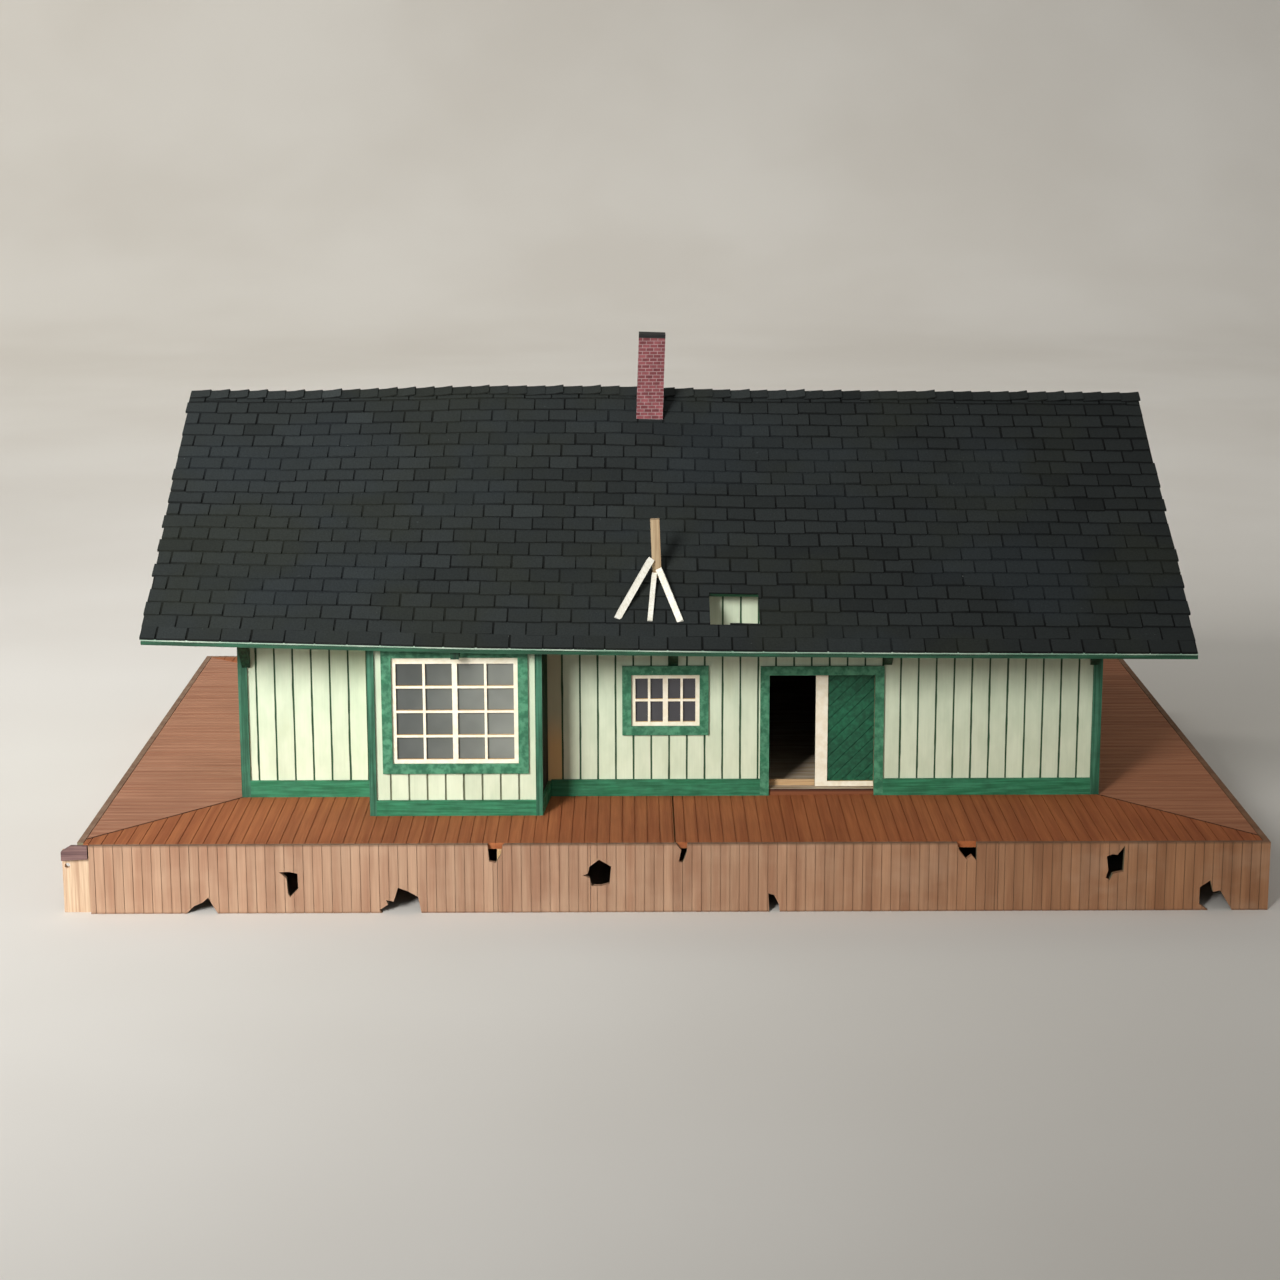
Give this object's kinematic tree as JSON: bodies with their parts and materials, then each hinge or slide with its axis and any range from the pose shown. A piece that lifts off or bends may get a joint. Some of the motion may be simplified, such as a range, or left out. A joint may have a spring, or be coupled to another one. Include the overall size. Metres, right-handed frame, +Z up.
{
  "type": "model railway depot",
  "caption": "Model railway depot on a plank platform: board walls, bay window, sliding freight doors and a shingled gable roof that lifts off, with chimney and signal mast.",
  "frame": {"origin": "centre of the platform's footprint at the surface it rests on (underside of the middle joist)", "axes": "+X to the right along the building's length, -Y towards the trackside front, +Z up"},
  "size_m": [0.3036, 0.216, 0.1349],
  "materials": {
    "deck_stain": "matte",
    "fascia_stain": "matte",
    "bare_wood": "matte",
    "floor_wood": "matte",
    "wall_paint": "matte",
    "trim_green": "satin",
    "bracket_green": "satin",
    "sash_cream": "matte",
    "glazing": "gloss",
    "door_green": "satin",
    "roof_green": "matte",
    "card_edge": "matte",
    "shingle_card": "matte",
    "brick_paper": "matte",
    "chimney_black": "matte",
    "brace_white": "matte"
  },
  "bodies": {
    "building": {"deck_front": "deck_stain", "deck_left": "deck_stain", "deck_right": "deck_stain", "deck_back": "deck_stain", "fascia_front": "fascia_stain", "fascia_left": "fascia_stain", "fascia_right": "fascia_stain", "fascia_back": "fascia_stain", "corner_plate": "bare_wood", "corner_chip": "deck_stain", "platform_joists": "bare_wood", "interior_floor": "floor_wood", "front_wall_left": "wall_paint", "front_wall_right": "wall_paint", "back_wall": "wall_paint", "left_end_wall": "wall_paint", "right_end_wall": "wall_paint", "bay_front_wall": "wall_paint", "bay_side_walls": "wall_paint", "wall_braces": "bare_wood", "corner_posts": "trim_green", "bay_corner_posts": "trim_green", "baseboards": "trim_green", "bay_baseboard": "trim_green", "frieze_boards": "trim_green", "eave_brackets": "bracket_green", "bay_window_casing": "trim_green", "bay_window_sashes": "sash_cream", "bay_window_glazing": "glazing", "front_window_casing": "trim_green", "front_window_sashes": "sash_cream", "front_window_glazing": "glazing", "rear_window_casings": "trim_green", "rear_window_sashes": "sash_cream", "rear_window_glazing": "glazing", "end_window_casings": "trim_green", "end_window_sashes": "sash_cream", "end_window_glazing": "glazing", "freight_door_casing": "trim_green", "freight_door_track": "bare_wood", "rear_door_casing": "trim_green", "rear_door_track": "bare_wood", "passenger_door_casing": "trim_green", "passenger_door": "door_green"},
    "roof": {"roof_board_front": "roof_green", "roof_board_back": "roof_green", "starter_strips": "card_edge", "shingles_front": "shingle_card", "shingles_back": "shingle_card", "ridge_shingles": "shingle_card", "roof_formers": "bare_wood", "chimney_stack": "brick_paper", "chimney_cap": "chimney_black", "signal_mast": "bare_wood", "mast_braces": "brace_white"},
    "freight_door": {"freight_door_panel": "door_green", "freight_door_frame": "sash_cream"},
    "rear_door": {"rear_door_panel": "door_green", "rear_door_frame": "sash_cream"}
  },
  "joints": [
    {"name": "roof_lift", "type": "slide", "parent": "building", "child": "roof", "axis": [0, 0, 1], "range_m": [0, 0.065]},
    {"name": "freight_door_slide", "type": "slide", "parent": "building", "child": "freight_door", "axis": [1, 0, 0], "range_m": [-0.0133, 0.0163]},
    {"name": "rear_door_slide", "type": "slide", "parent": "building", "child": "rear_door", "axis": [1, 0, 0], "range_m": [0, 0.0296]}
  ]
}
